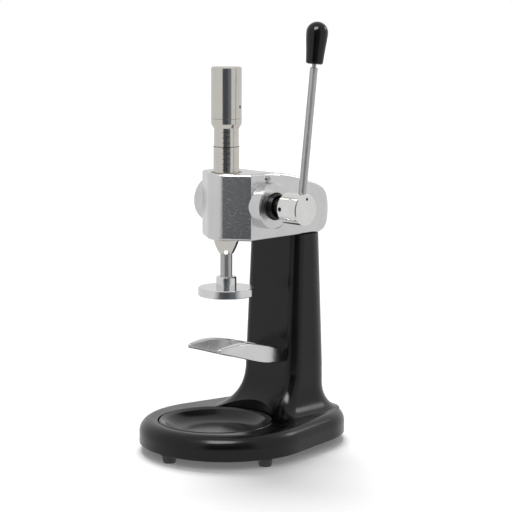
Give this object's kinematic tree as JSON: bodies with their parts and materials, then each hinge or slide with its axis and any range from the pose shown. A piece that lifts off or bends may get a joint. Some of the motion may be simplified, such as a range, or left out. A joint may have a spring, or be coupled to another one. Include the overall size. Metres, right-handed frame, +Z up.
{
  "type": "lever coffee tamping press",
  "caption": "Bench press with a side lever, rack and pinion, spring-loaded round tamper, adjusting cap, support fork and drip dish.",
  "frame": {"origin": "bottom centre of the whole press's box, on the surface it stands on", "axes": "+Z up along the ram, -Y towards the front where the fork points, +X to the side of the lever"},
  "size_m": [0.184, 0.235, 0.4423],
  "materials": {
    "black_enamel": "glossy black enamel on cast metal",
    "black_dish": "glossy black moulding",
    "polished_aluminium": "fine linished and polished",
    "turned_aluminium": "turned, satin",
    "satin_nickel": "satin nickel plate on turned steel",
    "nickel_rod": "ground bright bar",
    "steel_shaft": "ground steel",
    "spring_steel": "oiled spring wire",
    "bronze_bush": "sintered bronze",
    "dark_pin": "blackened steel",
    "black_screws": "black oxide",
    "zinc_screws": "zinc plated",
    "black_knob": "glossy black phenolic",
    "foot_rubber": "moulded rubber"
  },
  "bodies": {
    "stand": {"stand_casting": "black_enamel", "foot_front": "foot_rubber", "foot_right": "foot_rubber", "foot_left": "foot_rubber", "foot_rear_right": "foot_rubber", "foot_rear_left": "foot_rubber", "foot_screws": "zinc_screws", "head_casting": "polished_aluminium", "head_bolts": "black_screws", "head_washers": "zinc_screws", "guide_bush_lower": "bronze_bush", "guide_bush_upper": "bronze_bush", "shaft_bush_right": "bronze_bush", "shaft_bush_left": "bronze_bush", "bearing_cap": "polished_aluminium", "bearing_cap_screws": "black_screws", "return_spring": "spring_steel", "anchor_pin": "dark_pin", "portafilter_fork": "turned_aluminium", "fork_screws": "black_screws"},
    "lever": {"pinion_shaft": "steel_shaft", "lever_hub": "turned_aluminium", "hub_set_screw": "black_screws", "rod_lock_screw": "black_screws", "lever_rod": "nickel_rod", "lever_knob": "black_knob"},
    "ram": {"ram_sleeve": "satin_nickel"},
    "adjuster": {"spring_seat": "steel_shaft", "thrust_ball": "steel_shaft"},
    "cap": {"adjusting_cap": "satin_nickel", "index_ring": "satin_nickel", "cap_set_screw": "black_screws"},
    "plunger": {"plunger_rod": "nickel_rod", "tamper_disc": "turned_aluminium", "tamper_set_screw": "black_screws", "compression_spring": "spring_steel"},
    "dish": {"drip_dish": "black_dish"}
  },
  "joints": [
    {"name": "lever_turn", "type": "hinge", "parent": "stand", "child": "lever", "pos_m": [-0.00198, -0.005, 0.256], "axis": [1, 0, 0], "range_deg": [0, 125], "stiffness_Nm_per_rad": 0.25, "springref_deg": -68.75},
    {"name": "ram_slide", "type": "slide", "parent": "stand", "child": "ram", "axis": [0, 0, -1], "range_m": [0, 0.0273]},
    {"name": "seat_slide", "type": "slide", "parent": "ram", "child": "adjuster", "axis": [0, 0, -1], "range_m": [0, 0.00601]},
    {"name": "cap_turn", "type": "hinge", "parent": "adjuster", "child": "cap", "pos_m": [-0.00198, -0.0275, 0.36], "axis": [0, 0, -1], "range_deg": [0, 1080]},
    {"name": "plunger_slide", "type": "slide", "parent": "ram", "child": "plunger", "axis": [0, 0, 1], "range_m": [0, 0.01], "stiffness_N_per_m": 10000, "springref_m": -0.01, "deforming": ["compression_spring"]},
    {"name": "dish_lift", "type": "slide", "parent": "stand", "child": "dish", "axis": [0, 0, 1], "range_m": [0, 0.03]}
  ],
  "couplings": [
    {"joint": "ram_slide", "follows": "lever_turn", "m_per_rad": 0.0125},
    {"joint": "seat_slide", "follows": "cap_turn", "m_per_rad": 0.00031831}
  ]
}
